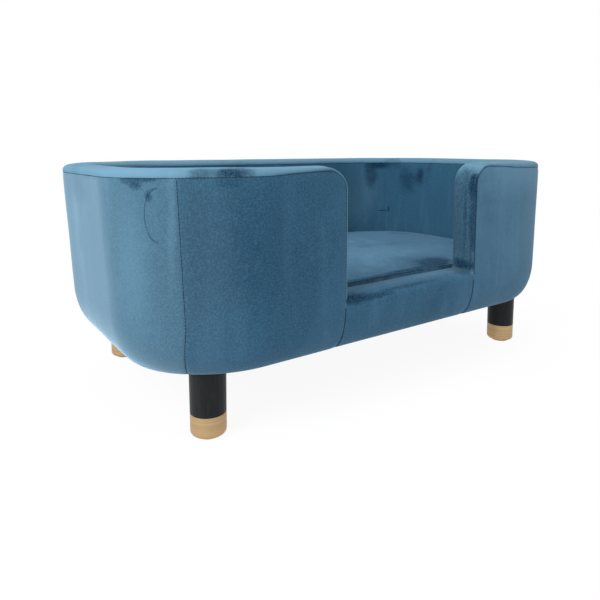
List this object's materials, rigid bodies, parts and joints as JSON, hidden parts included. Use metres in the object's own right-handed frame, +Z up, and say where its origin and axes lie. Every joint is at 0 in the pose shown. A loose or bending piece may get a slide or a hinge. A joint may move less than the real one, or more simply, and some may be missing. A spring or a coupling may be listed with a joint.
{
  "type": "dog sofa bed",
  "caption": "Dog sofa bed: a padded C-shaped velvet wall round a loose zipped seat cushion, low front rail at the entry, black turned legs with metal tips.",
  "frame": {"origin": "on the floor under the middle of the body's length and depth", "axes": "+X along the length to the right of someone facing the entry, +Y from the entry to the back, +Z up"},
  "size_m": [0.8588, 0.49, 0.35],
  "materials": {
    "velvet": "satin",
    "velvet_inside": "satin",
    "velvet_seat": "satin",
    "deck_cloth": "matte",
    "dust_cloth": "matte",
    "foam": "matte",
    "wadding": "matte",
    "plywood": "matte",
    "frame_wood": "matte",
    "hardboard": "matte",
    "steel": "satin",
    "leg_black": "satin",
    "tip_gold": "satin",
    "glide_black": "matte",
    "zip_tape": "matte",
    "zip_metal": "satin"
  },
  "bodies": {
    "bed": {"base_lower": "plywood", "base_upper": "plywood", "bottom_hoop": "frame_wood", "top_hoop": "frame_wood", "uprights": "frame_wood", "outer_board": "hardboard", "inner_board": "hardboard", "arm_post_left": "frame_wood", "arm_post_right": "frame_wood", "rail_board": "frame_wood", "frame_screws": "steel", "wadding_left": "wadding", "wadding_back": "wadding", "wadding_right": "wadding", "foam_left": "foam", "foam_back": "foam", "foam_right": "foam", "rim_foam": "foam", "rail_foam": "foam", "cover_front_left": "velvet", "cover_side_left": "velvet", "cover_back": "velvet", "cover_side_right": "velvet", "cover_front_right": "velvet", "cover_rim": "velvet", "cover_rail": "velvet", "inside_left": "velvet_inside", "inside_back": "velvet_inside", "inside_right": "velvet_inside", "deck_cloth": "deck_cloth", "dust_cover": "dust_cloth", "dust_staples": "steel", "leg_front_left": "leg_black", "leg_front_right": "leg_black", "leg_rear_left": "leg_black", "leg_rear_right": "leg_black", "tip_front_left": "tip_gold", "tip_front_right": "tip_gold", "tip_rear_left": "tip_gold", "tip_rear_right": "tip_gold", "glides": "glide_black", "hanger_bolts": "steel", "tee_nuts": "steel"},
    "cushion": {"cushion_foam": "foam", "cushion_top": "velvet_seat", "cushion_boxing": "velvet_seat", "cushion_bottom": "velvet_inside", "zip": "zip_tape"},
    "zip_slider": {"zip_slider": "zip_metal"}
  },
  "joints": [
    {"name": "cushion_lift", "type": "slide", "parent": "bed", "child": "cushion", "axis": [0, 0, 1], "range_m": [0, 0.25]},
    {"name": "zip_slide", "type": "slide", "parent": "cushion", "child": "zip_slider", "axis": [1, 0, 0], "range_m": [0, 0.363]}
  ]
}
